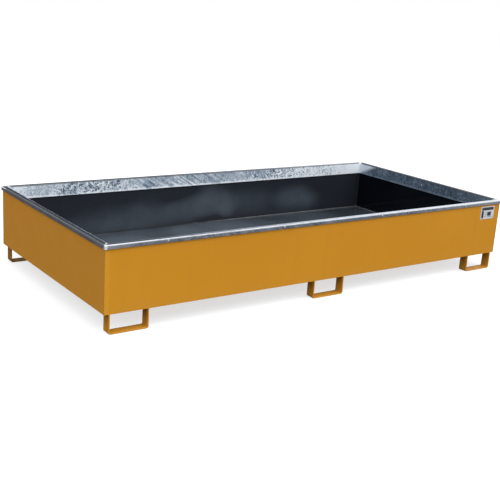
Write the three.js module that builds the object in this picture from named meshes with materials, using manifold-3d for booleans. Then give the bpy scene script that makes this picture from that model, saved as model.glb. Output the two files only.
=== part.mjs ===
// Spill containment pallet: a painted steel tray on six bent feet, with a plastic liner standing inside it
// and a galvanised rim frame over the top edges of both.
//
// Millimetres, +Z up. The origin is on the ground under the middle of the tray.
// X runs along the tray, and the side that carries the data plate, the front, faces -Y.

import * as THREE from 'three';
import { mergeVertices } from 'three/addons/utils/BufferGeometryUtils.js';
import Module from 'manifold-3d';

const wasm = await Module();
wasm.setup();

// Overall size, over the rim frame.
const LENGTH = 2700;
const WIDTH = 1300;
const HEIGHT = 435;

// Gap left between pieces that touch or are welded together.
const SEAM = 0.3;

// Steel tray.
const GROUND_CLEARANCE = 100;
const TRAY_SHEET = 3;
const RIM_OVERHANG = 6.5;

// Feet: flat bar bent into an upright U, open towards the tray.
const FOOT_WIDTH = 210;
const FOOT_BAR_WIDTH = 55;
const FOOT_BAR_THICKNESS = 6;
const FOOT_BEND_RADIUS = 12;
const FOOT_SPACING = 1214;

// Plastic liner: a loose box of welded sheet.
const LINER_SHEET = 5;
const LINER_INSET = 20;
const LINER_TOP = 430;

// Galvanised rim frame: one bent profile on each side, mitred at the corners.
const RIM_SHEET = 3;
const RIM_TOP_WIDTH = 30;
const RIM_LIP_DROP = 21;
const RIM_FLANGE_DROP = 75;
const RIM_BEND_RADIUS = 5;
const MITRE_GAP = 0.25;

// Screws through the rim's outer lip into the tray, on the two long sides.
const SCREW_COUNT = 4;
const SCREW_SPACING = 682;
const SCREW_SHANK_RADIUS = 2.2;
const SCREW_HOLE_RADIUS = 2.6;
const SCREW_HEAD_RADIUS = 5.5;
const SCREW_HEAD_HEIGHT = 3;
const SCREW_LENGTH = 14;
const SCREW_DROP = 11;

// Rivets through the rim's inner flange and the liner, on the two short sides.
const RIVET_COUNT = 3;
const RIVET_SPACING = 569;
const RIVET_SHANK_RADIUS = 2.2;
const RIVET_HOLE_RADIUS = 2.6;
const RIVET_HEAD_RADIUS = 5.5;
const RIVET_HEAD_HEIGHT = 2;
const RIVET_TAIL_RADIUS = 4;
const RIVET_DROP = 38;

// Data plate, with a rivet in each corner.
const PLATE_WIDTH = 120;
const PLATE_HEIGHT = 78;
const PLATE_THICKNESS = 0.8;
const PLATE_X = 1237;
const PLATE_Z = 364;
const PLATE_RIVET_INSET = 7;
const PLATE_RIVET_HOLE_RADIUS = 1.8;
const PLATE_RIVET_SHANK_RADIUS = 1.5;
const PLATE_RIVET_HEAD_RADIUS = 3;
const PLATE_RIVET_HEAD_HEIGHT = 1.3;
const PLATE_RIVET_TAIL_RADIUS = 2.4;

const ROUND_SEGMENTS = 16;
const BEND_SEGMENTS = 4;

const TRAY_HALF_LENGTH = LENGTH / 2 - RIM_OVERHANG;
const TRAY_HALF_WIDTH = WIDTH / 2 - RIM_OVERHANG;
const RIM_UNDERSIDE = HEIGHT - RIM_SHEET;
const LINER_FLOOR_BOTTOM = GROUND_CLEARANCE + TRAY_SHEET + SEAM;

const FINISHES = {
  paint: { color: 0xc98b29, roughness: 0.42, metalness: 0.0 },
  zinc: { color: 0xb4bcc4, roughness: 0.38, metalness: 0.85 },
  liner: { color: 0x111214, roughness: 0.22, metalness: 0.0 },
  screw: { color: 0xa3a9ad, roughness: 0.35, metalness: 0.9 },
  plate: { color: 0xc9ccce, roughness: 0.4, metalness: 0.7 },
};

function makePiece(name, geometry, finish) {
  const piece = new THREE.Mesh(geometry, new THREE.MeshStandardMaterial(FINISHES[finish]));
  piece.name = name;
  return piece;
}

// ---- solids and holes ------------------------------------------------------------------------------

function toSolid(geometry) {
  const bare = geometry.clone();
  bare.deleteAttribute('normal');
  bare.deleteAttribute('uv');
  const welded = mergeVertices(bare, 1e-4);
  const mesh = new wasm.Mesh({
    numProp: 3,
    vertProperties: new Float32Array(welded.attributes.position.array),
    triVerts: new Uint32Array(welded.index.array),
  });
  return new wasm.Manifold(mesh);
}

function toGeometry(solid) {
  const mesh = solid.getMesh();
  const geometry = new THREE.BufferGeometry();
  geometry.setAttribute('position', new THREE.BufferAttribute(mesh.vertProperties, 3));
  geometry.setIndex(new THREE.BufferAttribute(mesh.triVerts, 1));
  geometry.computeVertexNormals();
  return geometry;
}

// A round cutter along Y, centred on the given point.
function drillAlongY(radius, length, x, y, z) {
  const cutter = new THREE.CylinderGeometry(radius, radius, length, ROUND_SEGMENTS);
  cutter.translate(x, y, z);
  return cutter;
}

function cutHoles(geometry, cutters) {
  let solid = toSolid(geometry);
  for (const cutter of cutters) {
    solid = solid.subtract(toSolid(cutter));
  }
  return toGeometry(solid);
}

// ---- pieces, each facing -Y -----------------------------------------------------------------------

// A row of places along X, evenly spaced and centred on zero.
function evenPlaces(count, spacing) {
  const places = [];
  for (let i = 0; i < count; i += 1) {
    places.push((i - (count - 1) / 2) * spacing);
  }
  return places;
}

// A headed fastener along +Y. The head is outside, its underside at y = 0, and the shank runs inwards.
function headedFastener(headRadius, headHeight, shankRadius, shankLength) {
  const profile = [
    new THREE.Vector2(0, -headHeight),
    new THREE.Vector2(headRadius * 0.62, -headHeight * 0.9),
    new THREE.Vector2(headRadius * 0.92, -headHeight * 0.55),
    new THREE.Vector2(headRadius, -headHeight * 0.15),
    new THREE.Vector2(headRadius, 0),
    new THREE.Vector2(shankRadius, 0),
    new THREE.Vector2(shankRadius, shankLength - shankRadius),
    new THREE.Vector2(0, shankLength),
  ];
  return new THREE.LatheGeometry(profile, ROUND_SEGMENTS);
}

// A set rivet along +Y: a domed head at y = 0, a shank through the grip, and a formed tail behind it.
function setRivet(headRadius, headHeight, shankRadius, grip, tailRadius) {
  const tailHeight = headHeight;
  const profile = [
    new THREE.Vector2(0, -headHeight),
    new THREE.Vector2(headRadius * 0.6, -headHeight * 0.8),
    new THREE.Vector2(headRadius, -headHeight * 0.2),
    new THREE.Vector2(headRadius, 0),
    new THREE.Vector2(shankRadius, 0),
    new THREE.Vector2(shankRadius, grip),
    new THREE.Vector2(tailRadius, grip),
    new THREE.Vector2(tailRadius, grip + tailHeight * 0.6),
    new THREE.Vector2(0, grip + tailHeight),
  ];
  return new THREE.LatheGeometry(profile, ROUND_SEGMENTS);
}

// An upright sheet with its outer face at y = 0.
function uprightSheet(run, thickness, bottom, top) {
  const sheet = new THREE.BoxGeometry(run, thickness, top - bottom);
  sheet.translate(0, thickness / 2, (top + bottom) / 2);
  return sheet;
}

// The rim's cross-section. x is the distance inwards from its outer face, and y is the height.
function rimSection() {
  const outer = RIM_BEND_RADIUS;
  const inner = RIM_BEND_RADIUS - RIM_SHEET;
  const lipBottom = HEIGHT - RIM_LIP_DROP;
  const flangeBottom = HEIGHT - RIM_FLANGE_DROP;
  const bendHeight = HEIGHT - outer;
  const farBend = RIM_TOP_WIDTH - outer;
  const quarter = Math.PI / 2;
  const section = new THREE.Shape();
  section.moveTo(0, lipBottom);
  section.lineTo(0, bendHeight);
  section.absarc(outer, bendHeight, outer, Math.PI, quarter, true);
  section.lineTo(farBend, HEIGHT);
  section.absarc(farBend, bendHeight, outer, quarter, 0, true);
  section.lineTo(RIM_TOP_WIDTH, flangeBottom);
  section.lineTo(RIM_TOP_WIDTH - RIM_SHEET, flangeBottom);
  section.lineTo(RIM_TOP_WIDTH - RIM_SHEET, bendHeight);
  section.absarc(farBend, bendHeight, inner, 0, quarter, false);
  section.lineTo(outer, HEIGHT - RIM_SHEET);
  section.absarc(outer, bendHeight, inner, quarter, Math.PI, false);
  section.lineTo(RIM_SHEET, lipBottom);
  section.closePath();
  return section;
}

// A rim profile with its outer face at y = 0 and both ends mitred at 45 degrees.
function rimProfile(run) {
  const options = { depth: 1, steps: 1, bevelEnabled: false, curveSegments: BEND_SEGMENTS };
  const profile = new THREE.ExtrudeGeometry(rimSection(), options);
  const points = profile.attributes.position;
  for (let i = 0; i < points.count; i += 1) {
    const inwards = points.getX(i);
    const height = points.getY(i);
    const end = points.getZ(i) > 0.5 ? 1 : -1;
    points.setXYZ(i, end * (run / 2 - inwards - MITRE_GAP), inwards, height);
  }
  profile.computeVertexNormals();
  return profile;
}

// A foot: a U of flat bar seen from the front, its front face at y = 0 and its legs' ends at the top.
function footBar() {
  const half = FOOT_WIDTH / 2;
  const inside = half - FOOT_BAR_THICKNESS;
  const top = GROUND_CLEARANCE - SEAM;
  const bend = FOOT_BEND_RADIUS;
  const innerBend = bend - FOOT_BAR_THICKNESS;
  const quarter = Math.PI / 2;
  const outline = new THREE.Shape();
  outline.moveTo(-half, top);
  outline.lineTo(-half, bend);
  outline.absarc(bend - half, bend, bend, Math.PI, Math.PI + quarter, false);
  outline.lineTo(half - bend, 0);
  outline.absarc(half - bend, bend, bend, -quarter, 0, false);
  outline.lineTo(half, top);
  outline.lineTo(inside, top);
  outline.lineTo(inside, bend);
  outline.absarc(half - bend, bend, innerBend, 0, -quarter, true);
  outline.lineTo(bend - half, FOOT_BAR_THICKNESS);
  outline.absarc(bend - half, bend, innerBend, -quarter, -Math.PI, true);
  outline.lineTo(-inside, top);
  outline.closePath();
  const options = { depth: FOOT_BAR_WIDTH, steps: 1, bevelEnabled: false, curveSegments: BEND_SEGMENTS };
  const bar = new THREE.ExtrudeGeometry(outline, options);
  bar.rotateX(quarter);
  bar.translate(0, FOOT_BAR_WIDTH, 0);
  return bar;
}

// ---- one side of the tray, liner and rim ----------------------------------------------------------

function makeTrayWall(side) {
  const run = side.isLong ? 2 * side.halfRun : 2 * (side.halfRun - TRAY_SHEET - SEAM);
  const sheet = uprightSheet(run, TRAY_SHEET, GROUND_CLEARANCE, RIM_UNDERSIDE - SEAM);
  const cutters = side.wallHoles.map((hole) => (
    drillAlongY(hole.radius, 4 * TRAY_SHEET, hole.x, TRAY_SHEET / 2, hole.z)
  ));
  const wall = makePiece(`tray_${side.name}_wall`, cutHoles(sheet, cutters), 'paint');
  wall.position.y = -side.reach;
  return wall;
}

function makeLinerWall(side) {
  const halfRun = side.halfRun + RIM_OVERHANG - LINER_INSET;
  const run = side.isLong ? 2 * halfRun : 2 * (halfRun - LINER_SHEET - SEAM);
  const bottom = LINER_FLOOR_BOTTOM + LINER_SHEET + SEAM;
  const sheet = uprightSheet(run, LINER_SHEET, bottom, LINER_TOP);
  const cutters = side.flangeHoles.map((x) => (
    drillAlongY(RIVET_HOLE_RADIUS, 4 * LINER_SHEET, x, LINER_SHEET / 2, HEIGHT - RIVET_DROP)
  ));
  const wall = makePiece(`liner_${side.name}_wall`, cutHoles(sheet, cutters), 'liner');
  wall.position.y = LINER_INSET - RIM_OVERHANG - side.reach;
  return wall;
}

function makeRim(side) {
  const run = 2 * (side.halfRun + RIM_OVERHANG);
  const flangeMiddle = RIM_TOP_WIDTH - RIM_SHEET / 2;
  const lipCutters = side.lipHoles.map((x) => (
    drillAlongY(SCREW_HOLE_RADIUS, 2 * RIM_SHEET, x, RIM_SHEET / 2, HEIGHT - SCREW_DROP)
  ));
  const flangeCutters = side.flangeHoles.map((x) => (
    drillAlongY(RIVET_HOLE_RADIUS, 2 * RIM_SHEET, x, flangeMiddle, HEIGHT - RIVET_DROP)
  ));
  const geometry = cutHoles(rimProfile(run), [...lipCutters, ...flangeCutters]);
  const rim = makePiece(`rim_${side.name}`, geometry, 'zinc');
  rim.position.y = -side.reach - RIM_OVERHANG;
  return rim;
}

function makeLipScrew(side, x, number) {
  const shape = headedFastener(SCREW_HEAD_RADIUS, SCREW_HEAD_HEIGHT, SCREW_SHANK_RADIUS, SCREW_LENGTH);
  const screw = makePiece(`rim_screw_${side.name}_${number}`, shape, 'screw');
  screw.position.set(x, -side.reach - RIM_OVERHANG - SEAM, HEIGHT - SCREW_DROP);
  return screw;
}

// The head of a flange rivet is inside the liner, so it faces the other way from a lip screw.
function makeFlangeRivet(side, x, number) {
  const grip = RIM_TOP_WIDTH - LINER_INSET + 2 * SEAM;
  const shape = setRivet(RIVET_HEAD_RADIUS, RIVET_HEAD_HEIGHT, RIVET_SHANK_RADIUS, grip, RIVET_TAIL_RADIUS);
  const rivet = makePiece(`flange_rivet_${side.name}_${number}`, shape, 'screw');
  const face = RIM_TOP_WIDTH - RIM_OVERHANG - side.reach + SEAM;
  rivet.position.set(x, face, HEIGHT - RIVET_DROP);
  rivet.rotation.z = Math.PI;
  return rivet;
}

function makeSide(side) {
  const group = new THREE.Group();
  group.name = `${side.name}_side`;
  group.rotation.z = side.turn;
  group.add(makeTrayWall(side), makeLinerWall(side), makeRim(side));
  side.lipHoles.forEach((x, i) => group.add(makeLipScrew(side, x, i + 1)));
  side.flangeHoles.forEach((x, i) => group.add(makeFlangeRivet(side, x, i + 1)));
  return group;
}

// ---- floors, feet and data plate ------------------------------------------------------------------

function makeFloor(name, length, width, thickness, bottom, finish) {
  const floor = makePiece(name, new THREE.BoxGeometry(length, width, thickness), finish);
  floor.position.z = bottom + thickness / 2;
  return floor;
}

function makeTrayFloor() {
  const inset = 2 * (TRAY_SHEET + SEAM);
  const length = 2 * TRAY_HALF_LENGTH - inset;
  const width = 2 * TRAY_HALF_WIDTH - inset;
  return makeFloor('tray_floor', length, width, TRAY_SHEET, GROUND_CLEARANCE, 'paint');
}

function makeLinerFloor() {
  const length = LENGTH - 2 * LINER_INSET;
  const width = WIDTH - 2 * LINER_INSET;
  return makeFloor('liner_floor', length, width, LINER_SHEET, LINER_FLOOR_BOTTOM, 'liner');
}

// Three feet in a row along one long edge, their outer faces flush with the tray wall.
function makeFootRow(rowName, turn) {
  const row = new THREE.Group();
  row.name = `${rowName}_feet`;
  row.rotation.z = turn;
  const places = { left: -FOOT_SPACING, middle: 0, right: FOOT_SPACING };
  for (const [placeName, x] of Object.entries(places)) {
    const foot = makePiece(`foot_${rowName}_${placeName}`, footBar(), 'paint');
    foot.position.set(Math.cos(turn) * x, -TRAY_HALF_WIDTH, 0);
    row.add(foot);
  }
  return row;
}

const plateRivetPlaces = [];
for (const right of [-1, 1]) {
  for (const up of [-1, 1]) {
    plateRivetPlaces.push({
      x: right * (PLATE_WIDTH / 2 - PLATE_RIVET_INSET),
      z: up * (PLATE_HEIGHT / 2 - PLATE_RIVET_INSET),
    });
  }
}

function makeDataPlate() {
  const group = new THREE.Group();
  group.name = 'data_plate_set';
  group.position.set(PLATE_X, -TRAY_HALF_WIDTH - SEAM - PLATE_THICKNESS, PLATE_Z);
  const sheet = uprightSheet(PLATE_WIDTH, PLATE_THICKNESS, -PLATE_HEIGHT / 2, PLATE_HEIGHT / 2);
  const cutters = plateRivetPlaces.map((place) => (
    drillAlongY(PLATE_RIVET_HOLE_RADIUS, 4 * PLATE_THICKNESS, place.x, PLATE_THICKNESS / 2, place.z)
  ));
  group.add(makePiece('data_plate', cutHoles(sheet, cutters), 'plate'));
  const grip = PLATE_THICKNESS + TRAY_SHEET + 3 * SEAM;
  plateRivetPlaces.forEach((place, i) => {
    const shape = setRivet(
      PLATE_RIVET_HEAD_RADIUS,
      PLATE_RIVET_HEAD_HEIGHT,
      PLATE_RIVET_SHANK_RADIUS,
      grip,
      PLATE_RIVET_TAIL_RADIUS,
    );
    const rivet = makePiece(`data_plate_rivet_${i + 1}`, shape, 'screw');
    rivet.position.set(place.x, -SEAM, place.z);
    group.add(rivet);
  });
  return group;
}

// ---- assembly -------------------------------------------------------------------------------------

const screwPlaces = evenPlaces(SCREW_COUNT, SCREW_SPACING);
const rivetPlaces = evenPlaces(RIVET_COUNT, RIVET_SPACING);
const screwWallHoles = screwPlaces.map((x) => ({ x, z: HEIGHT - SCREW_DROP, radius: SCREW_HOLE_RADIUS }));
const plateWallHoles = plateRivetPlaces.map((place) => ({
  x: PLATE_X + place.x,
  z: PLATE_Z + place.z,
  radius: PLATE_RIVET_HOLE_RADIUS,
}));

const longSide = {
  isLong: true,
  halfRun: TRAY_HALF_LENGTH,
  reach: TRAY_HALF_WIDTH,
  lipHoles: screwPlaces,
  flangeHoles: [],
};
const shortSide = {
  isLong: false,
  halfRun: TRAY_HALF_WIDTH,
  reach: TRAY_HALF_LENGTH,
  wallHoles: [],
  lipHoles: [],
  flangeHoles: rivetPlaces,
};

const pallet = new THREE.Group();
pallet.name = 'spill_containment_pallet';
pallet.add(makeTrayFloor(), makeLinerFloor());
pallet.add(makeSide({ ...longSide, name: 'front', turn: 0, wallHoles: [...screwWallHoles, ...plateWallHoles] }));
pallet.add(makeSide({ ...longSide, name: 'rear', turn: Math.PI, wallHoles: screwWallHoles }));
pallet.add(makeSide({ ...shortSide, name: 'right', turn: Math.PI / 2 }));
pallet.add(makeSide({ ...shortSide, name: 'left', turn: -Math.PI / 2 }));
pallet.add(makeFootRow('front', 0), makeFootRow('rear', Math.PI));
pallet.add(makeDataPlate());

export default pallet;
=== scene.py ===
import math
import random

import bmesh
import bpy
from mathutils import Matrix, Vector, noise


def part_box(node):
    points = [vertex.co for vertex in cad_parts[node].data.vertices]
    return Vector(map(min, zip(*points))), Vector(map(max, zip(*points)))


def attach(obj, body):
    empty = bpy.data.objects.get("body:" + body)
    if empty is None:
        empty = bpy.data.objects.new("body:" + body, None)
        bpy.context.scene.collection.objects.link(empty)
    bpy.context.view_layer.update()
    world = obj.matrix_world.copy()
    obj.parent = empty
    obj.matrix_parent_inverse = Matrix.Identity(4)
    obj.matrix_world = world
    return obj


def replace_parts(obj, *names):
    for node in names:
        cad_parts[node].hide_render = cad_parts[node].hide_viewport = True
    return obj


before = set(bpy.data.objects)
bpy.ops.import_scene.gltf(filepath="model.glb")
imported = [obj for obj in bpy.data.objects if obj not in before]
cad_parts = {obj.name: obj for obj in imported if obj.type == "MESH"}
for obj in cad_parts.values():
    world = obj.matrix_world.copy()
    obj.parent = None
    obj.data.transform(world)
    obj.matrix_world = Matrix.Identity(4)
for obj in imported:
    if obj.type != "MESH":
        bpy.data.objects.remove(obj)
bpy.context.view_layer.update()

RANDOM = random.Random(27)

# ---- sizes, in metres ------------------------------------------------------------------------------

MM = 0.001
SHEET_EDGE = 0.7 * MM
BAR_EDGE = 0.9 * MM
PLASTIC_EDGE = 0.8 * MM
ZINC_EDGE = 0.6 * MM


def corner_of(x_node, x_end, y_node, y_end, z_node, z_end):
    """A point put together from the boxes of three nodes."""
    return Vector((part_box(x_node)[x_end].x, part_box(y_node)[y_end].y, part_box(z_node)[z_end].z))


TRAY_LOW = corner_of("tray_left_wall", 0, "tray_front_wall", 0, "tray_floor", 0)
TRAY_HIGH = corner_of("tray_right_wall", 1, "tray_rear_wall", 1, "tray_front_wall", 1)
TRAY_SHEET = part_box("tray_front_wall")[1].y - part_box("tray_front_wall")[0].y
LINER_LOW = corner_of("liner_left_wall", 1, "liner_front_wall", 1, "liner_floor", 1)
LINER_HIGH = corner_of("liner_right_wall", 0, "liner_rear_wall", 0, "liner_front_wall", 1)
RIM_LOW = corner_of("rim_left", 0, "rim_front", 0, "rim_front", 0)
RIM_HIGH = corner_of("rim_right", 1, "rim_rear", 1, "rim_front", 1)
RIM_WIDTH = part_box("rim_left")[1].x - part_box("rim_left")[0].x


# ---- node materials ---------------------------------------------------------------------------------

def set_range(node, low, high, to_low, to_high):
    """Fills in the four numbers of a Map Range node."""
    node.inputs["From Min"].default_value = low
    node.inputs["From Max"].default_value = high
    node.inputs["To Min"].default_value = to_low
    node.inputs["To Max"].default_value = to_high


class Surface:
    """A material with one Principled shader, and short calls for the nodes that feed it."""

    def __init__(self, name, **constants):
        self.material = bpy.data.materials.new(name)
        self.material.use_nodes = True
        self.tree = self.material.node_tree
        self.tree.nodes.clear()
        self.shader = self.tree.nodes.new("ShaderNodeBsdfPrincipled")
        output = self.tree.nodes.new("ShaderNodeOutputMaterial")
        self.tree.links.new(self.shader.outputs[0], output.inputs["Surface"])
        for socket, value in constants.items():
            self.shader.inputs[socket.replace("_", " ")].default_value = value
        self.place = self.add("ShaderNodeTexCoord").outputs["Object"]
        split = self.add("ShaderNodeSeparateXYZ")
        self.feed(split.inputs[0], self.place)
        self.x, self.y, self.z = split.outputs

    def add(self, kind, **settings):
        node = self.tree.nodes.new(kind)
        for name, value in settings.items():
            setattr(node, name, value)
        return node

    def feed(self, socket, value):
        if isinstance(value, bpy.types.NodeSocket):
            self.tree.links.new(value, socket)
        else:
            socket.default_value = value

    def link(self, name, value):
        self.feed(self.shader.inputs[name], value)

    def stretched(self, x, y, z, place=None):
        node = self.add("ShaderNodeVectorMath", operation="MULTIPLY")
        self.feed(node.inputs[0], place or self.place)
        node.inputs[1].default_value = (x, y, z)
        return node.outputs[0]

    def noise(self, scale, detail=4.0, roughness=0.55, distortion=0.0, place=None, output="Fac"):
        node = self.add("ShaderNodeTexNoise")
        self.feed(node.inputs["Vector"], place or self.place)
        node.inputs["Scale"].default_value = scale
        node.inputs["Detail"].default_value = detail
        node.inputs["Roughness"].default_value = roughness
        node.inputs["Distortion"].default_value = distortion
        return node.outputs[output]

    def cell_colour(self, scale, place=None):
        """A colour of its own for each cell, as three random numbers."""
        node = self.add("ShaderNodeTexVoronoi")
        self.feed(node.inputs["Vector"], place or self.place)
        node.inputs["Scale"].default_value = scale
        return node.outputs["Color"]

    def ramp(self, value, low, high, to_low=0.0, to_high=1.0):
        node = self.add("ShaderNodeMapRange", interpolation_type="SMOOTHSTEP")
        self.feed(node.inputs["Value"], value)
        set_range(node, low, high, to_low, to_high)
        return node.outputs["Result"]

    def maths(self, operation, a, b=0.0):
        node = self.add("ShaderNodeMath", operation=operation)
        self.feed(node.inputs[0], a)
        self.feed(node.inputs[1], b)
        return node.outputs[0]

    def product(self, a, b):
        return self.maths("MULTIPLY", a, b)

    def one_minus(self, value):
        return self.maths("SUBTRACT", 1.0, value)

    def add_mix(self, amount, a, b):
        """Blends two numbers."""
        kept = self.maths("MULTIPLY", a, self.one_minus(amount))
        return self.maths("ADD", kept, self.maths("MULTIPLY", b, amount))

    def stretch_of(self, value, start, end, soft):
        """1 where the value is between start and end, and 0 outside, with soft edges."""
        rising = self.ramp(value, start - soft, start + soft)
        return self.product(rising, self.ramp(value, end - soft, end + soft, 1.0, 0.0))

    def vector(self, operation, a, b=(0.0, 0.0, 0.0), c=None):
        node = self.add("ShaderNodeVectorMath", operation=operation)
        self.feed(node.inputs[0], a)
        self.feed(node.inputs[1], b)
        if c is not None:
            self.feed(node.inputs[2], c)
        return node.outputs[0]

    def mix(self, amount, a, b):
        node = self.add("ShaderNodeMix", data_type="RGBA")
        self.feed(node.inputs["Factor"], amount)
        self.feed(node.inputs[6], a if isinstance(a, bpy.types.NodeSocket) else (*a, 1.0))
        self.feed(node.inputs[7], b if isinstance(b, bpy.types.NodeSocket) else (*b, 1.0))
        return node.outputs[2]

    def bump(self, value, distance, strength=1.0, normal=None):
        node = self.add("ShaderNodeBump")
        self.feed(node.inputs["Height"], value)
        node.inputs["Distance"].default_value = distance
        node.inputs["Strength"].default_value = strength
        if normal is not None:
            self.feed(node.inputs["Normal"], normal)
        return node.outputs["Normal"]


ORANGE = (0.552, 0.238, 0.012)
DEEPER_ORANGE = (0.530, 0.224, 0.010)
RAIN_STREAK = (0.46, 0.184, 0.012)
PALE_ORANGE = (0.66, 0.32, 0.024)
DARK_EDGE = (0.24, 0.120, 0.016)
ROAD_DUST = (0.30, 0.22, 0.12)
BARE_CHIP = (0.09, 0.06, 0.045)
SHEEN_ORANGE = (0.545, 0.236, 0.028)
FOOT_SHADE = (0.085, 0.034, 0.007)


def painted_shade_on_feet(s, colour, amount):
    """Painted shade: the sheltered upper part of a foot, under the tray, is darker, and so are the rear
    feet all over.
    """
    patchy = s.ramp(s.noise(20.0, 4.0), 0.3, 0.7, 0.65, 1.0)
    shelter = s.product(s.ramp(s.z, 10 * MM, 95 * MM, 0.20, 1.0), patchy)
    behind_edge = s.ramp(s.y, TRAY_LOW.y + 0.8 * MM, TRAY_LOW.y + 9 * MM, 0.0, 0.85)
    shelter = s.maths("MAXIMUM", shelter, s.ramp(s.y, 0.2, 0.5, 0.0, 0.95))
    cover = s.product(s.product(shelter, behind_edge), amount)
    return s.mix(cover, colour, FOOT_SHADE)


def make_paint(name, worn, foot_shade):
    """Powder coat: faint blotches and rain streaks, dust and chips low down, orange peel."""
    s = Surface(name, Specular_IOR_Level=0.25, Coat_Weight=0.06, Coat_Roughness=0.3)
    colour = s.mix(s.ramp(s.noise(2.2, 3.0, 0.5), 0.3, 0.7), ORANGE, DEEPER_ORANGE)
    streaks = s.noise(1.0, 5.0, 0.6, place=s.stretched(22, 22, 1.6))
    colour = s.mix(s.ramp(streaks, 0.52, 0.8, 0.0, 0.25), colour, RAIN_STREAK)
    # Lighter beside the tray's left edge, and darker at the right edge.
    left_strip = s.ramp(s.x, TRAY_LOW.x + 18 * MM, TRAY_LOW.x + 26 * MM, 0.30, 0.0)
    colour = s.mix(left_strip, colour, PALE_ORANGE)
    right_line = s.ramp(s.x, TRAY_HIGH.x - 9 * MM, TRAY_HIGH.x - 4 * MM, 0.0, 0.60)
    colour = s.mix(right_line, colour, DARK_EDGE)
    # Dust and chips lie low down.
    speckle = s.ramp(s.noise(26, 6, 0.65), 0.35, 0.75, 0.1, 0.6)
    dust_and_highlight = s.product(s.ramp(s.z, 0.0, 190 * MM, 1.0, 0.0), speckle)
    colour = s.mix(s.product(dust_and_highlight, 0.35), colour, ROAD_DUST)
    scuffs = s.noise(1.0, 8.0, 0.7, 0.4, place=s.stretched(60, 60, 95))
    reach = s.ramp(s.z, 0.0, 120 * MM, 0.0, 0.14)
    chips = s.ramp(s.maths("SUBTRACT", scuffs, reach), 0.675 - worn, 0.69 - worn)
    colour = s.mix(chips, colour, BARE_CHIP)
    # Painted sheen: the left end wall is mixed towards a bluer, less saturated orange.
    end_sheen = s.ramp(s.x, TRAY_LOW.x + 1 * MM, TRAY_LOW.x + 3 * MM, 0.8, 0.0)
    colour = s.mix(end_sheen, colour, SHEEN_ORANGE)
    # Painted shade under the tray, for the feet.
    if foot_shade:
        colour = painted_shade_on_feet(s, colour, foot_shade)
    s.link("Base Color", colour)
    rough = s.ramp(s.noise(9.0, 4.0), 0.3, 0.7, 0.42, 0.54)
    s.link("Roughness", s.maths("ADD", rough, s.product(dust_and_highlight, 0.3)))
    s.link("Metallic", s.product(chips, 0.5))
    waves = s.bump(s.noise(3.1, 1.0, 0.4), 12 * MM, 0.10)
    peel = s.bump(s.noise(420.0, 2.0, 0.5), 0.12 * MM, 0.5, waves)
    s.link("Normal", s.bump(chips, -0.2 * MM, 0.7, peel))
    return s.material


RIGHT_FLANGE = RIM_HIGH.x - RIM_WIDTH
DARK_ZINC = (0.042, 0.078, 0.135)
MIDDLE_ZINC = (0.320, 0.393, 0.465)
LIGHT_ZINC = (0.87, 0.91, 0.94)
ZINC_SPECK = (0.05, 0.05, 0.055)
INNER_BEND_HIGHLIGHT = (0.74, 0.79, 0.86)
REAR_TOP_DARK_REFLECTION = (0.010, 0.012, 0.020)
GROUND_ZINC = (0.78, 0.80, 0.83)
REFLECTED_ZINC = (0.66, 0.72, 0.78)


def mitre_distance(s):
    """How far a point of the rim is from the plane of its nearest mitre."""
    along = s.maths("SUBTRACT", s.maths("ABSOLUTE", s.x), s.maths("ABSOLUTE", s.y))
    off = s.maths("SUBTRACT", along, RIM_HIGH.x - RIM_HIGH.y)
    return s.product(s.maths("ABSOLUTE", off), math.sqrt(0.5))


def zinc_marble(s, warp):
    """Blotches of two sizes, from 0 to 1."""
    fine = s.ramp(s.noise(96.0, 5.0, 0.72, 0.7, warp), 0.40, 0.60)
    coarse = s.ramp(s.noise(34.0, 5.0, 0.64, 1.2, warp), 0.38, 0.62)
    return s.maths("ADD", s.product(fine, 0.62), s.product(coarse, 0.38))


def zinc_streaks(s):
    """Slanting streaks left by the bath. They lean one way left of x = -0.57 and the other way beyond."""
    lean = s.ramp(s.x, -0.62, -0.52, -1.0, 1.0)
    across = s.maths("ADD", s.z, s.product(s.x, s.product(lean, 0.62)))
    lane = s.add("ShaderNodeCombineXYZ")
    for socket, value, scale in zip(lane.inputs, (s.x, s.y, across), (5.0, 8.0, 62.0)):
        s.feed(socket, s.product(value, scale))
    return s.ramp(s.noise(1.0, 4.0, 0.65, 0.5, lane.outputs[0]), 0.40, 0.66)


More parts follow.
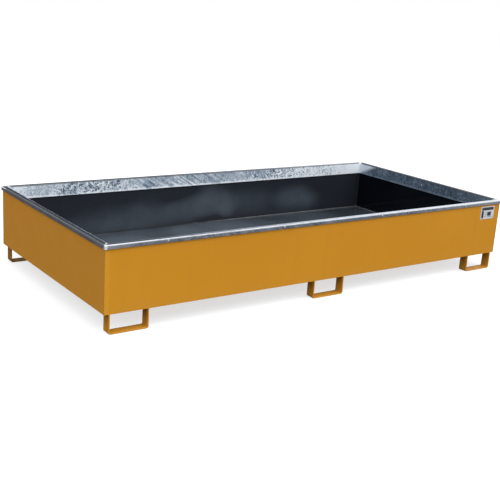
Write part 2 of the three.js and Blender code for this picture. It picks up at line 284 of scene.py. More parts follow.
def zinc_tone(s, warp, from_mitre):
    """How light the zinc is, from about 0 to 1. Stretches along the rim are marbled, streaked or calm."""
    drift = s.maths("ADD", s.x, s.ramp(s.noise(5.0, 3.0), 0.3, 0.7, -0.10, 0.10))
    left_marbled = s.stretch_of(drift, -1.00, -0.58, 0.06)
    right_marbled = s.stretch_of(drift, 0.42, 1.06, 0.10)
    marbled = s.maths("MAXIMUM", left_marbled, right_marbled)
    marbled = s.maths("MAXIMUM", marbled, s.ramp(s.x, RIGHT_FLANGE - 4 * MM, RIGHT_FLANGE, 0.0, 0.35))
    strength = s.ramp(marbled, 0.0, 1.0, 0.48, 1.42)
    tone = s.product(s.maths("SUBTRACT", zinc_marble(s, warp), 0.5), strength)
    slanted = s.stretch_of(drift, -0.62, 0.10, 0.10)
    streaked = s.product(s.maths("SUBTRACT", zinc_streaks(s), 0.35), slanted)
    tone = s.maths("ADD", tone, s.product(streaked, 0.46))
    tone = s.maths("ADD", tone, s.ramp(s.noise(5.5, 5.0, 0.6, 0.7), 0.3, 0.7, -0.13, 0.13))
    # The general lightness drifts along the length.
    level = s.maths("ADD", s.ramp(drift, -1.05, -0.80, 0.66, 0.515), s.ramp(drift, 0.35, 1.00, 0.0, 0.43))
    level = s.maths("SUBTRACT", level, s.product(s.stretch_of(drift, -0.98, -0.62, 0.05), 0.07))
    # Painted shade: the zinc is darker from the right rim's inner face outwards.
    right_end = s.ramp(s.x, RIGHT_FLANGE - 4 * MM, RIGHT_FLANGE - 1 * MM)
    tone = s.maths("ADD", tone, s.maths("SUBTRACT", level, s.product(right_end, 0.36)))
    tone = s.maths("ADD", tone, s.ramp(from_mitre, 20 * MM, 120 * MM, 0.24, 0.0))
    # Lighter in streaks towards the flange's lower edge.
    lower_streaks = s.ramp(s.noise(1.0, 4.0, 0.7, place=s.stretched(46, 46, 10)), 0.36, 0.62, 0.3, 1.0)
    lower_edge_pale = s.product(s.ramp(s.z, RIM_HIGH.z - 72.5 * MM, RIM_HIGH.z - 58 * MM, 1.0, 0.0), lower_streaks)
    return s.maths("ADD", tone, s.product(lower_edge_pale, 0.62))


class RimZones:
    """The lip, bends and flat top of a rim's section, each from 0 to 1, with soft borders."""

    def __init__(self, s):
        from_end = s.maths("ABSOLUTE", s.x)
        from_side = s.maths("ADD", s.maths("ABSOLUTE", s.y), RIM_HIGH.x - RIM_HIGH.y)
        outside = s.maths("MAXIMUM", from_end, from_side)
        self.lip = s.ramp(outside, RIM_HIGH.x - 1.0 * MM, RIM_HIGH.x - 0.3 * MM)
        self.high = s.ramp(s.z, RIM_HIGH.z - 7.2 * MM, RIM_HIGH.z - 4.6 * MM)
        self.rear = s.ramp(s.y, 0.56, 0.60)
        flat = s.ramp(s.z, RIM_HIGH.z - 1.2 * MM, RIM_HIGH.z - 0.4 * MM)
        outer = s.ramp(outside, RIM_HIGH.x - 5.6 * MM, RIM_HIGH.x - 3.6 * MM)
        inner = s.ramp(outside, RIGHT_FLANGE + 3.5 * MM, RIGHT_FLANGE + 5.5 * MM, 1.0, 0.0)
        # Painted highlight: the outer bend gets its own colour everywhere but at the rear.
        self.bend = s.product(s.product(self.high, outer), s.one_minus(self.rear))
        open_top = s.product(flat, s.one_minus(inner))
        self.top = s.product(open_top, s.one_minus(self.bend))
        # Painted shade in the remaining bends, and a painted highlight where the inner tint is light, as
        # on the left rim.
        self.shaded = s.product(self.high, s.one_minus(s.maths("MAXIMUM", self.bend, open_top)))


def painted_reflection_patch(s, colour, zones, from_mitre, wander):
    """A painted reflection: a bright patch that spreads from the rear mitre and narrows along the flange.
    """
    depth = s.maths("SUBTRACT", RIM_HIGH.z, s.z)
    taper = s.maths("ADD", s.maths("ADD", depth, s.product(from_mitre, 0.62)), wander)
    patch = s.product(s.ramp(taper, 60 * MM, 90 * MM, 0.80, 0.0), s.ramp(s.y, 0.2, 0.3))
    return s.mix(s.product(patch, s.one_minus(zones.high)), colour, REFLECTED_ZINC)


def make_zinc(
    name, tint, lip_tint, bend_tint, top_tint, top_metal, top_rough, inner_tint, inner_cover,
    inner_highlight=0.0, corner_reflection=False,
):
    """Hot-dip zinc: a dark lip, a painted highlight on the outer bend, a smooth flat top and a marbled
    flange; the other bends take painted shade or highlight from inner_tint.
    """
    s = Surface(name)
    warp = s.vector("MULTIPLY_ADD", s.noise(16.0, 3.0, output="Color"), (0.035, 0.035, 0.035), s.place)
    from_mitre = mitre_distance(s)
    wander = s.ramp(s.noise(90.0, 3.0), 0.3, 0.7, -4 * MM, 4 * MM)
    tone = zinc_tone(s, warp, from_mitre)
    zones = RimZones(s)
    dark, middle, light = (
        tuple(value * share for value, share in zip(shade, tint))
        for shade in (DARK_ZINC, MIDDLE_ZINC, LIGHT_ZINC)
    )
    colour = s.mix(s.ramp(tone, 0.08, 0.46), dark, middle)
    colour = s.mix(s.ramp(tone, 0.44, 0.98), colour, light)
    specks = s.ramp(s.noise(75.0, 3.0, 0.6), 0.70, 0.74)
    colour = s.mix(s.product(specks, 0.8), colour, ZINC_SPECK)
    colour = s.mix(s.product(zones.lip, 0.80), colour, lip_tint)
    # The bends take painted shade, or a painted highlight where the inner tint is light.
    cover = s.ramp(zones.rear, 0.0, 1.0, inner_cover, 0.85)
    colour = s.mix(s.product(zones.shaded, cover), colour, inner_tint)
    # Painted highlight: the inner bend is brighter towards the corners, by the given amount.
    towards_ends = s.ramp(s.maths("ABSOLUTE", s.y), 0.10, 0.42, 0.0, inner_highlight)
    colour = s.mix(s.product(zones.shaded, towards_ends), colour, INNER_BEND_HIGHLIGHT)
    colour = s.mix(s.product(zones.top, 0.92), colour, top_tint)
    # Painted dark reflection on the top of the rear rim, more so towards the left.
    rear_top_reflection = s.product(zones.rear, s.ramp(s.x, -1.2, 1.2, 0.98, 0.60))
    colour = s.mix(s.product(zones.top, rear_top_reflection), colour, REAR_TOP_DARK_REFLECTION)
    mottled = s.ramp(tone, 0.1, 1.0, 0.60, 1.0)
    colour = s.mix(s.product(zones.bend, mottled), colour, bend_tint)
    ground = s.ramp(s.maths("ADD", from_mitre, wander), 5 * MM, 11 * MM, 1.0, 0.0)
    colour = s.mix(s.product(ground, 0.85), colour, GROUND_ZINC)
    # Painted reflection near the rear mitre.
    if corner_reflection:
        colour = painted_reflection_patch(s, colour, zones, from_mitre, wander)
    s.link("Base Color", colour)
    metal = s.add_mix(zones.top, s.ramp(tone, 0.3, 0.9, 0.42, 0.28), top_metal)
    metal = s.add_mix(zones.shaded, metal, 0.10)
    s.link("Metallic", s.add_mix(zones.bend, metal, 0.25))
    rough = s.add_mix(zones.top, s.ramp(tone, 0.3, 0.9, 0.50, 0.40), top_rough)
    s.link("Roughness", s.add_mix(zones.shaded, rough, 0.70))
    # Each crystal of the spangle leans its own way by a little.
    normal = s.add("ShaderNodeNewGeometry").outputs["Normal"]
    lean = s.vector("SUBTRACT", s.cell_colour(95.0, warp), (0.5, 0.5, 0.5))
    leaning = s.vector("NORMALIZE", s.vector("MULTIPLY_ADD", lean, (0.08, 0.08, 0.08), normal))
    waves = s.bump(s.noise(5.0, 2.0, 0.5), 4 * MM, 0.3, leaning)
    s.link("Normal", s.bump(s.noise(160.0, 5.0, 0.6), 0.3 * MM, 0.3, waves))
    return s.material


LINER_PALE = (0.0640, 0.0780, 0.0940)
LINER_SPECK = (0.12, 0.12, 0.12)
BEAD_BLACK = (0.006, 0.007, 0.009)
BEAD_HIGHLIGHT = (0.120, 0.122, 0.122)

# Soft paler, bluer patches on the liner: x, z, half-width, half-height, strength.
# A patch with a negative strength is a darker one.
PALE_PATCHES = (
    (-1.00, 0.10, 0.45, 0.08, 0.40),
    (-0.58, 0.17, 0.26, 0.09, 0.64),
    (-0.30, 0.20, 0.24, 0.10, 0.52),
    (0.00, 0.23, 0.22, 0.09, 0.74),
    (0.16, 0.20, 0.08, 0.07, 0.85),
    (0.37, 0.22, 0.17, 0.08, 0.34),
    (0.75, 0.21, 0.17, 0.08, 0.70),
    (0.05, 0.12, 0.12, 0.04, -0.90),
    (-0.20, 0.30, 0.15, 0.05, -0.70),
)


def make_liner(name, deep, pale_share):
    """Black polyethylene sheet: glossy, a little wavy, paler and bluer in soft patches low down, with a
    painted reflection over most of the floor.
    """
    s = Surface(name, Specular_IOR_Level=0.40)
    wander = s.vector("SUBTRACT", s.noise(3.6, 1.0, 0.4, output="Color"), (0.5, 0.5, 0.5))
    place = s.vector("MULTIPLY_ADD", wander, (0.20, 0.20, 0.09), s.place)
    paleness = 0.0
    for x, z, half_width, half_height, strength in PALE_PATCHES:
        offset = s.vector("SUBTRACT", place, (x, 0.0, z))
        scaled = s.vector("MULTIPLY", offset, (1 / half_width, 0.0, 1 / half_height))
        away = s.add("ShaderNodeVectorMath", operation="LENGTH")
        s.feed(away.inputs[0], scaled)
        patch = s.ramp(away.outputs["Value"], 0.1, 1.7, strength, 0.0)
        paleness = s.maths("ADD", paleness, s.product(patch, s.one_minus(paleness)))
    cloudiness = s.ramp(s.noise(5.5, 3.0, 0.5, 0.4), 0.30, 0.70, 0.72, 1.10)
    paleness = s.product(s.maths("MAXIMUM", paleness, 0.0), cloudiness)
    # Painted reflection: the floor is paler nearly everywhere, with a few darker patches, less so towards
    # +x.
    on_floor = s.ramp(s.z, LINER_LOW.z + 0.4 * MM, LINER_LOW.z + 1.2 * MM, 1.0, 0.0)
    floor_patches = s.ramp(s.noise(2.6, 2.0, 0.45, 0.2), 0.30, 0.62, 0.30, 1.0)
    fading = s.ramp(s.x, -0.2, 1.2, 0.90, 0.42)
    paleness = s.maths("MAXIMUM", paleness, s.product(s.product(on_floor, floor_patches), fading))
    paleness = s.product(paleness, pale_share)
    colour = s.mix(paleness, deep, LINER_PALE)
    specks = s.ramp(s.noise(210.0, 3.0, 0.7), 0.72, 0.78)
    colour = s.mix(s.product(specks, 0.20), colour, LINER_SPECK)
    s.link("Base Color", colour)
    gloss = s.ramp(s.x, 0.1, 0.7, 0.18, 0.09)
    s.link("Roughness", s.maths("ADD", gloss, s.product(paleness, 0.08)))
    waves = s.bump(s.noise(3.4, 2.0, 0.45), 12 * MM, 0.22)
    scratches = s.noise(1.0, 4.0, 0.7, place=s.stretched(9, 9, 260))
    s.link("Normal", s.bump(scratches, 0.08 * MM, 0.45, waves))
    return s.material


def make_liner_weld(name):
    """The extruded bead: a painted highlight towards the right-hand end, low down, and dark towards the
    left.
    """
    s = Surface(name, Specular_IOR_Level=0.25, Roughness=0.42)
    wander = s.ramp(s.noise(7.0, 3.0), 0.3, 0.7, -0.15, 0.15)
    # Painted highlight on the bead towards the right-hand end and low down.
    dust_and_highlight = s.ramp(s.maths("ADD", s.x, wander), -0.15, 0.25)
    low_down = s.ramp(s.z, LINER_LOW.z + 6 * MM, LINER_LOW.z + 20 * MM, 1.0, 0.06)
    patchy = s.ramp(s.noise(60.0, 3.0), 0.3, 0.7, 0.6, 1.0)
    dust_and_highlight = s.product(s.product(dust_and_highlight, low_down), patchy)
    s.link("Base Color", s.mix(dust_and_highlight, BEAD_BLACK, BEAD_HIGHLIGHT))
    s.link("Normal", s.bump(s.noise(300.0, 4.0, 0.6), 0.2 * MM, 0.5))
    return s.material


def make_grained(name, light, dark, metallic, roughness, grain_scale=(60, 400, 1600)):
    """A plain finish with a fine grain in its colour and its surface."""
    s = Surface(name, Metallic=metallic)
    grain = s.noise(1.0, 4.0, 0.6, place=s.stretched(*grain_scale))
    s.link("Base Color", s.mix(s.ramp(grain, 0.3, 0.7), light, dark))
    s.link("Roughness", s.ramp(s.noise(300.0, 3.0), 0.3, 0.7, roughness - 0.06, roughness + 0.08))
    s.link("Normal", s.bump(grain, 0.03 * MM, 0.4))
    return s.material


PAINT = make_paint("orange_powder_coat", worn=0.0, foot_shade=0.0)
# The feet's copy carries painted shade.
FOOT_PAINT = make_paint("orange_powder_coat_feet", worn=0.02, foot_shade=0.62)
ZINC = make_zinc(
    "hot_dip_zinc",
    tint=(1.0, 1.0, 1.0),
    lip_tint=(0.088, 0.094, 0.102),
    bend_tint=(0.50, 0.53, 0.565),
    top_tint=(0.46, 0.49, 0.53),
    top_metal=0.97,
    top_rough=0.14,
    inner_tint=(0.050, 0.057, 0.068),
    inner_cover=0.60,
)
# A darker copy for the left rim: a painted dark reflection on its top and a painted highlight on its
# inner bend.
LEFT_ZINC = make_zinc(
    "hot_dip_zinc_left",
    tint=(0.55, 0.59, 0.64),
    lip_tint=(0.105, 0.100, 0.095),
    bend_tint=(0.128, 0.138, 0.150),
    top_tint=(0.014, 0.018, 0.027),
    top_metal=0.30,
    top_rough=0.12,
    inner_tint=(0.26, 0.29, 0.33),
    inner_cover=0.85,
    inner_highlight=0.90,
)
# A much darker, bluer copy for the right rim, as painted shade, with a painted reflection near the rear
# mitre.
RIGHT_ZINC = make_zinc(
    "hot_dip_zinc_right",
    tint=(0.190, 0.232, 0.285),
    lip_tint=(0.090, 0.095, 0.105),
    bend_tint=(0.26, 0.28, 0.30),
    top_tint=(0.024, 0.030, 0.039),
    top_metal=0.35,
    top_rough=0.50,
    inner_tint=(0.015, 0.018, 0.024),
    inner_cover=0.75,
    corner_reflection=True,
)
WELD_ZINC = make_grained(
    "ground_weld_zinc", (0.80, 0.82, 0.85), (0.64, 0.66, 0.70), 0.6, 0.38, grain_scale=(300, 300, 300),
)
LINER = make_liner("black_polyethylene", (0.0150, 0.0180, 0.0235), 1.0)
SHADED_LINER = make_liner("black_polyethylene_shaded", (0.0014, 0.0024, 0.0044), 0.05)
LINER_WELD = make_liner_weld("polyethylene_weld")
FASTENER = make_grained(
    "plated_fastener", (0.62, 0.63, 0.63), (0.40, 0.42, 0.44), 0.7, 0.38, grain_scale=(500, 500, 500),
)
PLATE_SILVER = make_grained("plate_aluminium", (0.80, 0.81, 0.83), (0.70, 0.71, 0.73), 0.35, 0.36)
PLATE_INK = make_grained("plate_ink", (0.020, 0.024, 0.034), (0.035, 0.040, 0.052), 0.0, 0.42)
PLATE_GREY = make_grained("plate_grey", (0.30, 0.33, 0.38), (0.22, 0.25, 0.30), 0.0, 0.42)


# ---- pieces -----------------------------------------------------------------------------------------

SHARP_ANGLE = math.radians(40)
FLAT_ANGLE = math.radians(1.0)


def finish_piece(name, body, materials, smooth_angle=35.0):
    """Turns a bmesh into a piece of the object that rides on its one body."""
    mesh = bpy.data.meshes.new(name)
    body.normal_update()
    body.to_mesh(mesh)
    body.free()
    for material in materials:
        mesh.materials.append(material)
    mesh.polygons.foreach_set("use_smooth", [True] * len(mesh.polygons))
    mesh.set_sharp_from_angle(angle=math.radians(smooth_angle))
    piece = bpy.data.objects.new(name, mesh)
    bpy.context.scene.collection.objects.link(piece)
    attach(piece, "root")
    return piece


def soften(body, edge):
    """Rounds the sharp edges of a bmesh, as the edges of sheet and bar are."""
    sharp = [
        line for line in body.edges
        if len(line.link_faces) == 2 and line.calc_face_angle() > SHARP_ANGLE
    ]
    bmesh.ops.bevel(
        body, geom=sharp, offset=edge, segments=3, profile=0.5, affect="EDGES", clamp_overlap=True,
    )


def softened_copy(node, edge, material):
    """The node's own shape with its edges rounded."""
    body = bmesh.new()
    body.from_mesh(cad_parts[node].data)
    bmesh.ops.remove_doubles(body, verts=body.verts, dist=0.001 * MM)
    bmesh.ops.dissolve_limit(body, angle_limit=FLAT_ANGLE, verts=body.verts, edges=body.edges)
    soften(body, edge)
    for face in body.faces:
        face.material_index = 0
    piece = finish_piece(node + "_finished", body, [material])
    even = piece.modifiers.new("even_normals", "WEIGHTED_NORMAL")
    even.keep_sharp = True
    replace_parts(piece, node)


def wavy_grid(body, low, high, thin, counts, swing, inwards):
    """One face of a wavy sheet, as rows of corners. inwards is 1 at the low face, -1 at the high one."""
    first, second = [axis for axis in range(3) if axis != thin]
    face_at = low[thin] if inwards > 0 else high[thin] - swing
    rows = []
    for a in range(counts[0] + 1):
        row = []
        for b in range(counts[1] + 1):
            place = Vector(low)
            place[first] = low[first] + (high[first] - low[first]) * a / counts[0]
            place[second] = low[second] + (high[second] - low[second]) * b / counts[1]
            place[thin] = (low[thin] + high[thin]) / 2
            wave = 0.36 * noise.noise(place * 2.6) + 0.14 * noise.noise(place * 7.0)
            place[thin] = face_at + (0.5 + wave) * swing
            row.append(body.verts.new(place))
        rows.append(row)
    for a in range(counts[0]):
        for b in range(counts[1]):
            body.faces.new((rows[a][b], rows[a + 1][b], rows[a + 1][b + 1], rows[a][b + 1]))
    return rows


def rim_of(rows):
    """The outer corners of a grid, in order round it."""
    last_row, last_column = len(rows) - 1, len(rows[0]) - 1
    loop = [rows[a][0] for a in range(last_row)]
    loop += [rows[-1][b] for b in range(last_column)]
    loop += [rows[a][-1] for a in range(last_row, 0, -1)]
    loop += [rows[0][b] for b in range(last_column, 0, -1)]
    return loop


def wavy_sheet(node, thin, swing, step, material):
    """A plastic sheet in the node's box. Both faces wander in from the box by up to swing.

    thin is the axis through the sheet."""
    low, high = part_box(node)
    counts = [max(2, round((high[i] - low[i]) / step)) for i in range(3) if i != thin]
    body = bmesh.new()
    front = rim_of(wavy_grid(body, low, high, thin, counts, swing, 1))
    back = rim_of(wavy_grid(body, low, high, thin, counts, swing, -1))
    for i in range(len(front)):
        n = (i + 1) % len(front)
        body.faces.new((front[i], front[n], back[n], back[i]))
    bmesh.ops.recalc_face_normals(body, faces=body.faces)
    soften(body, PLASTIC_EDGE)
    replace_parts(finish_piece(node + "_finished", body, [material]), node)


def bead(name, path, width, rise, material, ripple=0.18, pitch=4 * MM):
    """A weld bead along a path of (point, outward direction) pairs, half-round and rippled."""
    body = bmesh.new()
    sides = 8
    stations = []
    for (start, start_up), (end, end_up) in zip(path[:-1], path[1:]):
        count = max(1, int((end - start).length / pitch))
        for i in range(count):
            stations.append((start.lerp(end, i / count), start_up.lerp(end_up, i / count), end - start))
    stations.append((path[-1][0], path[-1][1], path[-1][0] - path[-2][0]))
    rings = []
    for i, (centre, up, along) in enumerate(stations):
        side = along.cross(up).normalized()
        out = side.cross(along).normalized()
        if out.dot(up) < 0:
            out.negate()
        swell = 1.0 + ripple * (0.5 - (i % 2)) + ripple * (RANDOM.random() - 0.5)
        ring = []
        for k in range(sides):
            a = 2 * math.pi * k / sides
            offset = side * math.cos(a) * width + out * math.sin(a) * rise
            ring.append(body.verts.new(centre + offset * swell))
        rings.append(ring)
    for a, b in zip(rings[:-1], rings[1:]):
        for k in range(sides):
            body.faces.new((a[k], a[(k + 1) % sides], b[(k + 1) % sides], b[k]))
    body.faces.new(list(reversed(rings[0])))
    body.faces.new(rings[-1])
    bmesh.ops.recalc_face_normals(body, faces=body.faces)
    return finish_piece(name, body, [material], 60.0)


for node in ("tray_floor", "tray_front_wall", "tray_rear_wall", "tray_left_wall", "tray_right_wall"):
    softened_copy(node, SHEET_EDGE, PAINT)
for node in sorted(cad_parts):
    if node.startswith("foot_"):
        softened_copy(node, BAR_EDGE, FOOT_PAINT)
softened_copy("liner_left_wall", PLASTIC_EDGE, LINER)
softened_copy("liner_right_wall", PLASTIC_EDGE, SHADED_LINER)
for node, thin in (("liner_front_wall", 1), ("liner_rear_wall", 1), ("liner_floor", 2)):
    wavy_sheet(node, thin, 1.1 * MM, 45 * MM, LINER)
for node in ("rim_front", "rim_rear"):
    softened_copy(node, ZINC_EDGE, ZINC)
softened_copy("rim_left", ZINC_EDGE, LEFT_ZINC)
softened_copy("rim_right", ZINC_EDGE, RIGHT_ZINC)

# ---- welds ------------------------------------------------------------------------------------------

UP = Vector((0, 0, 1))
DOWN = Vector((0, 0, -1))
FOOT_BAR = 6 * MM


def ring_path(corners, outward):
    """A closed path through the corners. outward is one direction, or one for each corner."""
    ups = outward if isinstance(outward, list) else [outward] * len(corners)
    return list(zip(corners + corners[:1], ups + ups[:1]))


# Fillets where each leg of a foot meets the underside of the tray.
for node in sorted(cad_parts):
    if not node.startswith("foot_"):
        continue
    low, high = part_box(node)
    z = high.z - 1.2 * MM
    y0, y1 = low.y + 1.2 * MM, high.y - 1.2 * MM
    for leg, x0, x1 in (("a", low.x, low.x + FOOT_BAR), ("b", high.x - FOOT_BAR, high.x)):
        corners = [Vector((x0, y0, z)), Vector((x0, y1, z)), Vector((x1, y1, z)), Vector((x1, y0, z))]
        bead(f"{node}_weld_{leg}", ring_path(corners, DOWN), 2.2 * MM, 1.9 * MM, FOOT_PAINT)

# Upright seams at the tray's corners, on the sides of the end walls.
seam = TRAY_SHEET + 0.15 * MM
for x_name, x, out in (("left", TRAY_LOW.x, -1), ("right", TRAY_HIGH.x, 1)):
    for y_name, y in (("front", TRAY_LOW.y + seam), ("rear", TRAY_HIGH.y - seam)):
        start = Vector((x - out * 0.2 * MM, y, TRAY_LOW.z + 1 * MM))
        end = Vector((start.x, y, RIM_HIGH.z - 23 * MM))
        outward = Vector((out, 0, 0))
        run = [(start, outward), (end, outward)]
        bead(f"tray_corner_weld_{y_name}_{x_name}", run, 1.9 * MM, 0.7 * MM, PAINT)

# The seam under the tray between its floor and walls.
z = TRAY_LOW.z + 0.2 * MM
under = [
    Vector((TRAY_LOW.x + seam, TRAY_LOW.y + seam, z)),
    Vector((TRAY_HIGH.x - seam, TRAY_LOW.y + seam, z)),
    Vector((TRAY_HIGH.x - seam, TRAY_HIGH.y - seam, z)),
    Vector((TRAY_LOW.x + seam, TRAY_HIGH.y - seam, z)),
]
bead("tray_floor_weld", ring_path(under, DOWN), 2.2 * MM, 1.3 * MM, PAINT, pitch=8 * MM)

# Welded joints of the liner: round the floor and up each corner.
z = LINER_LOW.z + 0.8 * MM
edge = 0.8 * MM
around = [
    Vector((LINER_LOW.x + edge, LINER_LOW.y + edge, z)),
    Vector((LINER_HIGH.x - edge, LINER_LOW.y + edge, z)),
    Vector((LINER_HIGH.x - edge, LINER_HIGH.y - edge, z)),
    Vector((LINER_LOW.x + edge, LINER_HIGH.y - edge, z)),
]
bead("liner_floor_weld", ring_path(around, UP), 3.4 * MM, 3.0 * MM, LINER_WELD, ripple=0.08, pitch=9 * MM)
for x_name, x, sx in (("left", LINER_LOW.x + edge, 1), ("right", LINER_HIGH.x - edge, -1)):
    for y_name, y, sy in (("front", LINER_LOW.y + edge, 1), ("rear", LINER_HIGH.y - edge, -1)):
        inward = Vector((sx, sy, 0)).normalized()
        run = [(Vector((x, y, z)), inward), (Vector((x, y, LINER_HIGH.z - 6 * MM)), inward)]
        bead(f"liner_corner_weld_{y_name}_{x_name}", run, 3.0 * MM, 2.6 * MM, LINER_WELD, 0.08, 9 * MM)


def mitre_weld(name, x, y, sx, sy):
    """The ground weld of a mitre: flush up the lip and over the top, and a fillet down the inside."""
    outward = Vector((-sx, -sy, 0)).normalized()

    def at(inwards, depth, up):
        return Vector((x + sx * inwards, y + sy * inwards, RIM_HIGH.z - depth)), up

    flush = 1.5 * MM
    over = [
        at(flush, 20.5 * MM, outward),
        at(flush, 5.5 * MM, outward),
        at(2.7 * MM, 3.0 * MM, (outward + UP).normalized()),
        at(5.0 * MM, flush, UP),
        at(RIM_WIDTH - 5.0 * MM, flush, UP),
        at(RIM_WIDTH - 2.6 * MM, 2.6 * MM, (UP - outward).normalized()),
        at(RIM_WIDTH - 0.6 * MM, 6.0 * MM, -outward),
        at(RIM_WIDTH - 0.2 * MM, 74.0 * MM, -outward),
    ]
    bead(name, over, 1.5 * MM, 0.85 * MM, WELD_ZINC, 0.10, 3 * MM)


for x_name, x, sx in (("left", RIM_LOW.x, 1), ("right", RIM_HIGH.x, -1)):
    for y_name, y, sy in (("front", RIM_LOW.y, 1), ("rear", RIM_HIGH.y, -1)):
        mitre_weld(f"rim_mitre_weld_{y_name}_{x_name}", x, y, sx, sy)


# ---- fasteners and data plate ------------------------------------------------------------------------

def lathe(body, profile, sides, centre, axis):
    """Turns (radius, along) points about an axis through centre."""
    turn = UP.rotation_difference(axis).to_matrix()
    rings = []
    for radius, along in profile:
        if radius < 1e-7:
            rings.append([body.verts.new(centre + turn @ Vector((0, 0, along)))])
            continue
        ring = []
        for k in range(sides):
            a = 2 * math.pi * k / sides
            spoke = Vector((radius * math.cos(a), radius * math.sin(a), along))
            ring.append(body.verts.new(centre + turn @ spoke))
        rings.append(ring)
    for a, b in zip(rings[:-1], rings[1:]):
        for k in range(sides):
            n = (k + 1) % sides
            if len(a) == 1:
                body.faces.new((a[0], b[k], b[n]))
            elif len(b) == 1:
                body.faces.new((a[k], a[n], b[0]))
            else:
                body.faces.new((a[k], a[n], b[n], b[k]))


def fastener(node, axis, recess):
    """A domed head with a recess in its outer end, and the shank behind it."""
    low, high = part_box(node)
    length = abs((high - low).dot(axis))
    radius = min(high.x - low.x, high.y - low.y, high.z - low.z) / 2
    outer = (low + high) / 2 + axis * (length / 2)
    head = min(3.0 * MM, radius * 0.5)
    dip = radius * (0.42 if recess else 0.25)
    floor = head * (0.55 if recess else 0.25)
    profile = [
        (0.0, -floor),
        (dip * 0.75, -floor * 0.9),
        (dip, -head * 0.04),
        (radius * 0.62, -head * 0.10),
        (radius * 0.82, -head * 0.26),
        (radius * 0.94, -head * 0.50),
        (radius, -head * 0.80),
        (radius, -head),
        (radius * 0.4, -head),
        (radius * 0.4, -length * 0.86),
        (0.0, -length),
    ]
    body = bmesh.new()
    lathe(body, profile, 28, outer, axis)
    bmesh.ops.recalc_face_normals(body, faces=body.faces)
    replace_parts(finish_piece(node + "_finished", body, [FASTENER], 40.0), node)


for node in sorted(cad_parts):
    if node.startswith("rim_screw_front") or node.startswith("data_plate_rivet"):
        fastener(node, Vector((0, -1, 0)), "screw" in node)
    elif node.startswith("rim_screw_rear"):
        fastener(node, Vector((0, 1, 0)), True)
    elif node.startswith("flange_rivet_left"):
        fastener(node, Vector((1, 0, 0)), False)
    elif node.startswith("flange_rivet_right"):
        fastener(node, Vector((-1, 0, 0)), False)


def rounded_panel(body, x0, x1, z0, z1, y_front, y_back, corner, material_index):
    """A flat panel with rounded corners, facing -Y."""
    outline = []
    for cx, cz, start in (
        (x1 - corner, z1 - corner, 0), (x0 + corner, z1 - corner, 90),
        (x0 + corner, z0 + corner, 180), (x1 - corner, z0 + corner, 270),
    ):
        for step in range(5):
            a = math.radians(start + 90 * step / 4)
            outline.append((cx + corner * math.cos(a), cz + corner * math.sin(a)))
    front = [body.verts.new((x, y_front, z)) for x, z in outline]
    back = [body.verts.new((x, y_back, z)) for x, z in outline]
    made = [body.faces.new(front), body.faces.new(list(reversed(back)))]
    for i in range(len(outline)):
        n = (i + 1) % len(outline)
        made.append(body.faces.new((front[i], back[i], back[n], front[n])))
    for face in made:
        face.material_index = material_index


def data_plate():
    """A plain plate with generic printed fields: bars and blocks, no lettering."""
    low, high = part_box("data_plate")
    width, height = high.x - low.x, high.z - low.z
    body = bmesh.new()
    rounded_panel(body, low.x, high.x, low.z, high.z, low.y + 0.15 * MM, high.y, 4 * MM, 0)

    def field(left, right, bottom, up, ink, corner=0.6 * MM):
        rounded_panel(
            body,
            low.x + left * width, low.x + right * width,
            low.z + bottom * height, low.z + up * height,
            low.y + 0.05 * MM, low.y + 0.2 * MM, corner, ink,
        )

    field(0.06, 0.94, 0.70, 0.93, 1)
    field(0.06, 0.22, 0.08, 0.66, 1)
    field(0.50, 0.78, 0.24, 0.56, 1)
    for row in range(3):
        field(0.28, 0.46, 0.50 - 0.15 * row, 0.56 - 0.15 * row, 2, 0.3 * MM)
    field(0.52, 0.88, 0.13, 0.19, 2, 0.3 * MM)
    bmesh.ops.recalc_face_normals(body, faces=body.faces)
    piece = finish_piece("data_plate_finished", body, [PLATE_SILVER, PLATE_INK, PLATE_GREY], 30.0)
    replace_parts(piece, "data_plate")


data_plate()


# ---- room: floor, light and camera -------------------------------------------------------------------

FLOOR_HALF_WIDTH = 30.0
FLOOR_GLOW = 0.66
FLOOR_GREY = (0.36, 0.36, 0.36)
FLOOR_PALE = (0.38, 0.38, 0.38)
WHITE = (1.0, 1.0, 1.0, 1.0)


def make_floor():
    """A matt floor that also glows, so that it shows white with a faint shadow."""
    body = bmesh.new()
    bmesh.ops.create_grid(body, x_segments=2, y_segments=2, size=FLOOR_HALF_WIDTH)
    mesh = bpy.data.meshes.new("studio_floor")
    body.to_mesh(mesh)
    body.free()
    floor = bpy.data.objects.new("studio_floor", mesh)
    floor.location.z = -0.5 * MM
    bpy.context.scene.collection.objects.link(floor)
    s = Surface("studio_floor_white", Roughness=0.9, Specular_IOR_Level=0.1)
    s.link("Base Color", s.mix(s.noise(0.6, 2.0), FLOOR_GREY, FLOOR_PALE))
    s.shader.inputs["Emission Color"].default_value = WHITE
    s.shader.inputs["Emission Strength"].default_value = FLOOR_GLOW
    mesh.materials.append(s.material)
    floor.visible_diffuse = False
    floor.visible_glossy = False


# How bright the dim sector behind the object is, as a share of the sky's strength. Matt surfaces
# are given the second share there, and everything else the first.
DIM = 0.10
DIM_MATT = 0.60
SKY = 1.25
BELOW_GROUND = 0.12
SKY_COLOUR = (0.96, 0.98, 1.03, 1.0)


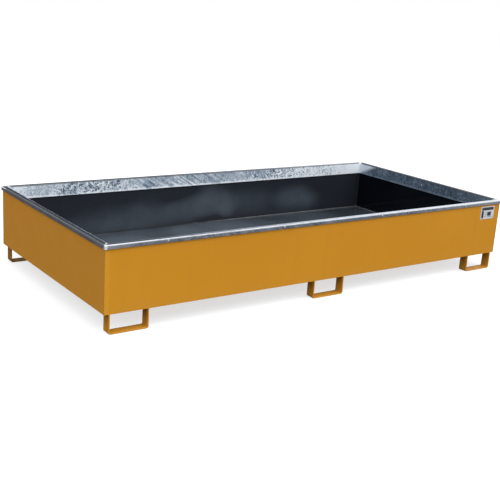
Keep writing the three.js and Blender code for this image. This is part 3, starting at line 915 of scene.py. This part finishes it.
def make_world():
    """A pale sky, dim behind the object and below the ground. The camera itself sees plain white."""
    world = bpy.data.worlds.new("soft_studio")
    world.use_nodes = True
    tree = world.node_tree
    tree.nodes.clear()

    def add(kind, **settings):
        node = tree.nodes.new(kind)
        for name, value in settings.items():
            setattr(node, name, value)
        return node

    def ramp(value, low, high, to_low, to_high):
        node = add("ShaderNodeMapRange", interpolation_type="SMOOTHSTEP")
        tree.links.new(value, node.inputs["Value"])
        set_range(node, low, high, to_low, to_high)
        return node.outputs["Result"]

    def join(operation, a, b):
        node = add("ShaderNodeMath", operation=operation)
        tree.links.new(a, node.inputs[0])
        tree.links.new(b, node.inputs[1])
        return node.outputs[0]

    rays = add("ShaderNodeLightPath")
    direction = add("ShaderNodeTexCoord").outputs["Generated"]
    split = add("ShaderNodeSeparateXYZ")
    tree.links.new(direction, split.inputs[0])
    bearing = add("ShaderNodeMath", operation="ARCTAN2")
    tree.links.new(split.outputs[0], bearing.inputs[0])
    tree.links.new(split.outputs[1], bearing.inputs[1])
    right_edge = ramp(bearing.outputs[0], math.radians(27), math.radians(47), DIM, 1.0)
    left_edge = ramp(bearing.outputs[0], math.radians(-80), math.radians(-62), 1.0, DIM)
    overhead = ramp(split.outputs[2], 0.80, 0.95, 0.0, 1.0)
    card = join("MAXIMUM", join("MAXIMUM", right_edge, left_edge), overhead)
    matt = ramp(rays.outputs["Is Diffuse Ray"], 0.0, 1.0, 0.0, DIM_MATT)
    card = join("MAXIMUM", card, matt)
    above = ramp(split.outputs[2], -0.06, 0.02, BELOW_GROUND, SKY)
    level = join("MULTIPLY", card, above)
    sky = add("ShaderNodeBackground")
    sky.inputs["Color"].default_value = SKY_COLOUR
    tree.links.new(level, sky.inputs["Strength"])
    white = add("ShaderNodeBackground")
    white.inputs["Color"].default_value = WHITE
    choose = add("ShaderNodeMixShader")
    tree.links.new(rays.outputs["Is Camera Ray"], choose.inputs[0])
    tree.links.new(sky.outputs[0], choose.inputs[1])
    tree.links.new(white.outputs[0], choose.inputs[2])
    output = add("ShaderNodeOutputWorld")
    tree.links.new(choose.outputs[0], output.inputs["Surface"])
    bpy.context.scene.world = world


def soft_sun(name, strength, spread, travel):
    """A large soft light. travel is the way that its light goes."""
    data = bpy.data.lights.new(name, "SUN")
    data.energy = strength
    data.angle = math.radians(spread)
    lamp = bpy.data.objects.new(name, data)
    lamp.rotation_euler = Vector(travel).to_track_quat("-Z", "Y").to_euler()
    bpy.context.scene.collection.objects.link(lamp)


CAMERA_PLACE = (-3.0451, -4.0600, 1.5305)
CAMERA_TURNS = (0.6316, 0.2778, -0.06775)
CAMERA_LENS = 63.32
SENSOR_WIDTH = 36.0


def make_camera():
    """The picture's viewpoint, as a place in the part's own frame and three turns of the camera."""
    data = bpy.data.cameras.new("camera")
    data.sensor_width = SENSOR_WIDTH
    data.lens = CAMERA_LENS
    data.clip_start = 0.05
    data.clip_end = 200.0
    camera = bpy.data.objects.new("camera", data)
    yaw, pitch, roll = CAMERA_TURNS
    ahead = Vector((
        math.sin(yaw) * math.cos(pitch),
        math.cos(yaw) * math.cos(pitch),
        -math.sin(pitch),
    ))
    level = Vector((math.cos(yaw), -math.sin(yaw), 0.0))
    down = ahead.cross(level)
    right = level * math.cos(roll) + down * math.sin(roll)
    below = down * math.cos(roll) - level * math.sin(roll)
    turn = Matrix((right, -below, -ahead)).transposed()
    camera.matrix_world = Matrix.Translation(CAMERA_PLACE) @ turn.to_4x4()
    bpy.context.scene.collection.objects.link(camera)
    bpy.context.scene.camera = camera


make_floor()
make_world()
soft_sun("key", 1.70, 50, (-0.18, 0.54, -0.82))
soft_sun("fill", 0.75, 60, (0.66, 0.22, -0.72))
make_camera()
bpy.context.scene.view_settings.view_transform = "Standard"
